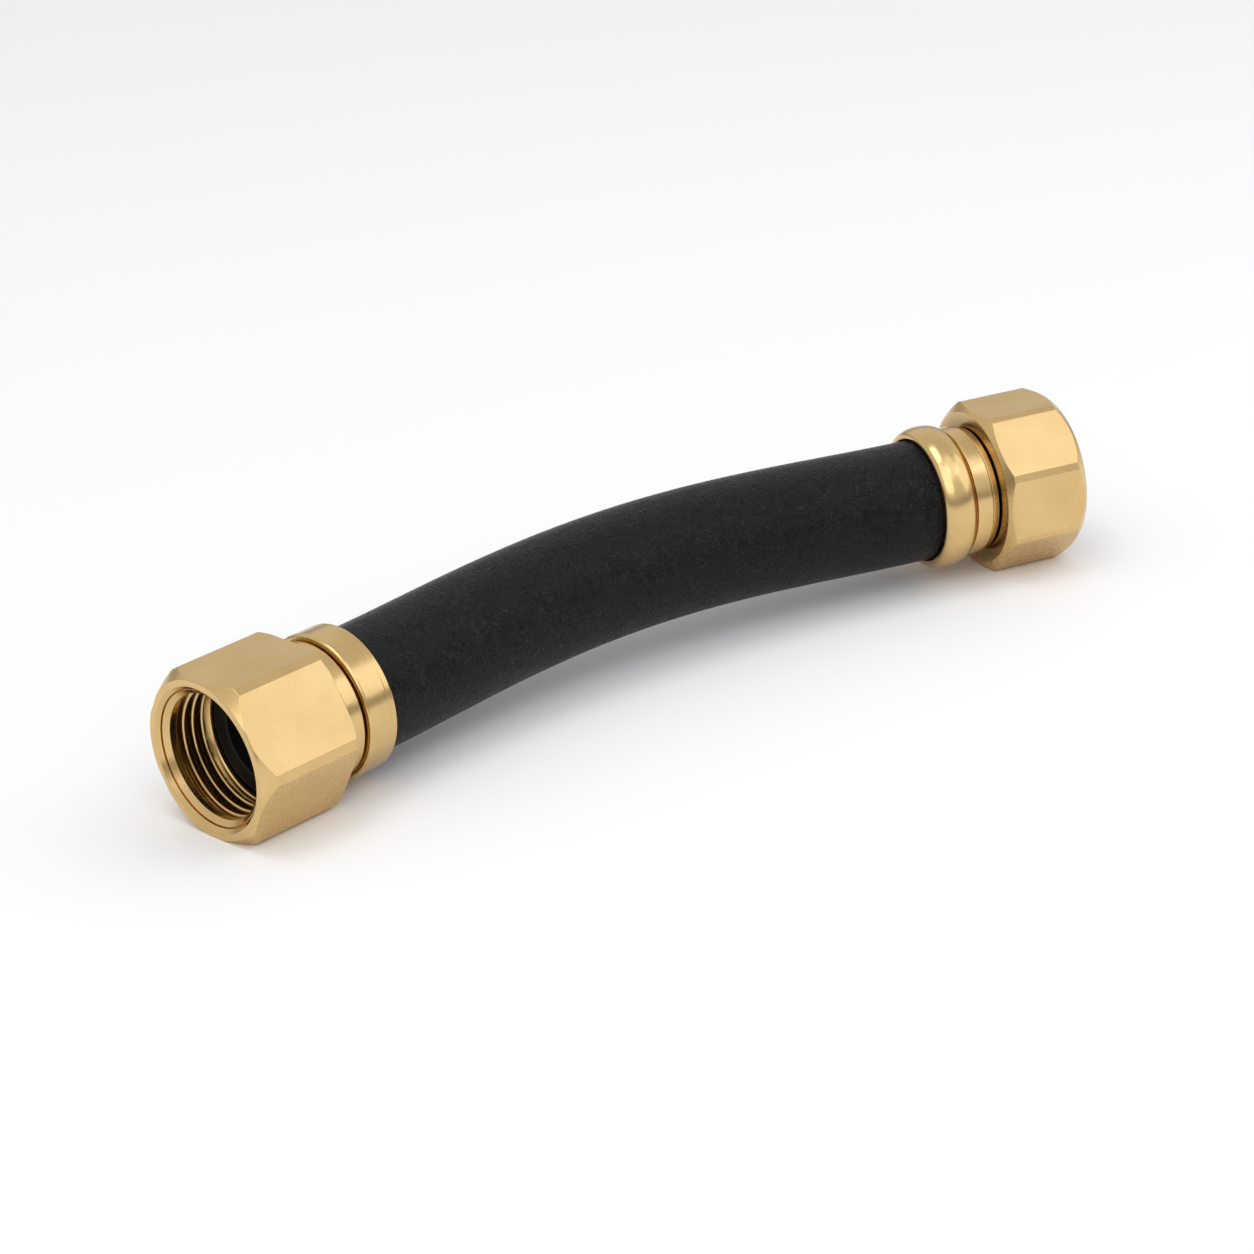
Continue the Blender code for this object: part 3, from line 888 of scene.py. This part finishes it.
# Area lights: name; metres to the camera's right, ahead of it and up; width and height; watts; colour
WHITE = (1.0, 1.0, 1.0)
COOL_WHITE = (1.0, 1.04, 1.18)
LIGHTS = (
    ("key", (-0.32, -0.1, 1.6), (0.8, 0.8), 5.0, WHITE),
    ("fill", (0.0, -1.1, 1.1), (1.3, 1.3), 5.6, WHITE),
    ("side_panel", (0.76, -0.03, 0.48), (0.7, 0.6), 0.86, COOL_WHITE),
    ("front_panel", (0.42, -0.22, 0.77), (0.5, 0.5), 0.46, COOL_WHITE),
)
LIGHT_TARGET = Vector((0, 0, 0.015))


def make_area_light(name, position, size, power, colour):
    """Rectangular light that faces the middle of the part."""
    data = bpy.data.lights.new(name, "AREA")
    data.shape = "RECTANGLE"
    data.size = size[0]
    data.size_y = size[1]
    data.energy = power
    data.color = colour
    light = bpy.data.objects.new(name, data)
    light.location = position
    light.rotation_euler = (LIGHT_TARGET - position).to_track_quat("-Z", "Y").to_euler()
    bpy.context.scene.collection.objects.link(light)


def make_world():
    """Soft white surroundings, darker low down all round, for the metal to reflect."""
    world = bpy.data.worlds.new("studio")
    bpy.context.scene.world = world
    world.use_nodes = True
    tree = world.node_tree
    background = tree.nodes["Background"]
    place = tree.nodes.new("ShaderNodeTexCoord")
    parts = tree.nodes.new("ShaderNodeSeparateXYZ")
    tree.links.new(place.outputs["Generated"], parts.inputs[0])
    ramp = tree.nodes.new("ShaderNodeValToRGB")
    height = tree.nodes.new("ShaderNodeMapRange")
    height.inputs["From Min"].default_value = -1.0
    tree.links.new(parts.outputs["Z"], height.inputs["Value"])
    tree.links.new(height.outputs["Result"], ramp.inputs["Fac"])
    elements = ramp.color_ramp.elements
    while len(elements) < len(STUDIO_STOPS):
        elements.new(0.5)
    for element, (position, value) in zip(elements, STUDIO_STOPS):
        element.position = position
        element.color = (value, value, value, 1.0)
    tree.links.new(ramp.outputs["Color"], background.inputs["Color"])
    background.inputs["Strength"].default_value = 1.0


def make_lights(level, right):
    up = Vector((0, 0, 1))
    for name, (to_right, ahead, above), size, power, colour in LIGHTS:
        position = right * to_right + level * ahead + up * above
        make_area_light(name, position, size, power, colour)


def main():
    hex_seat = seat_matrix(HEX_END)
    octagon_seat = seat_matrix(OCTAGON_END)
    rubber = hose_rubber()
    washer = washer_rubber()
    nut_brass = satin_brass()
    # The ferrule's groove gets painted shade; the stem's groove keeps a deeper brass tone
    ferrule_brass = turned_brass(
        "ferrule_turned_brass", roughness=0.2, ring_height=0.003 * MM, groove_colour=BRASS_PAINTED_SHADE
    )
    stem_brass = turned_brass(
        "stem_turned_brass", roughness=0.25, ring_height=0.004 * MM, groove_colour=BRASS_DEEP
    )

    for end, seat in ((HEX_END, hex_seat), (OCTAGON_END, octagon_seat)):
        nut = make_nut(end, nut_brass, seat)
        nut.name = end.nut + "_body"
        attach(nut, end.nut)
        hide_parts(end.nut)
        for maker, node, slot, material in (
            (make_washer, "_washer", "washer_rubber", washer),
            (make_stem, "_stem", "stem_brass", stem_brass),
            (make_ferrule, "_ferrule", "ferrule_brass", ferrule_brass),
        ):
            piece = maker(end, material, seat)
            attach(piece, "hose_body")
            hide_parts(end.prefix + node)

    stations = hose_stations(hex_seat, octagon_seat)
    hose = make_hose(stations, rubber)
    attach(hose, "hose_body")
    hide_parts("hose")

    make_floor()
    level, right = make_camera()
    make_world()
    make_lights(level, right)
    scene = bpy.context.scene
    scene.view_settings.view_transform = "Standard"
    scene.view_settings.look = "None"


main()
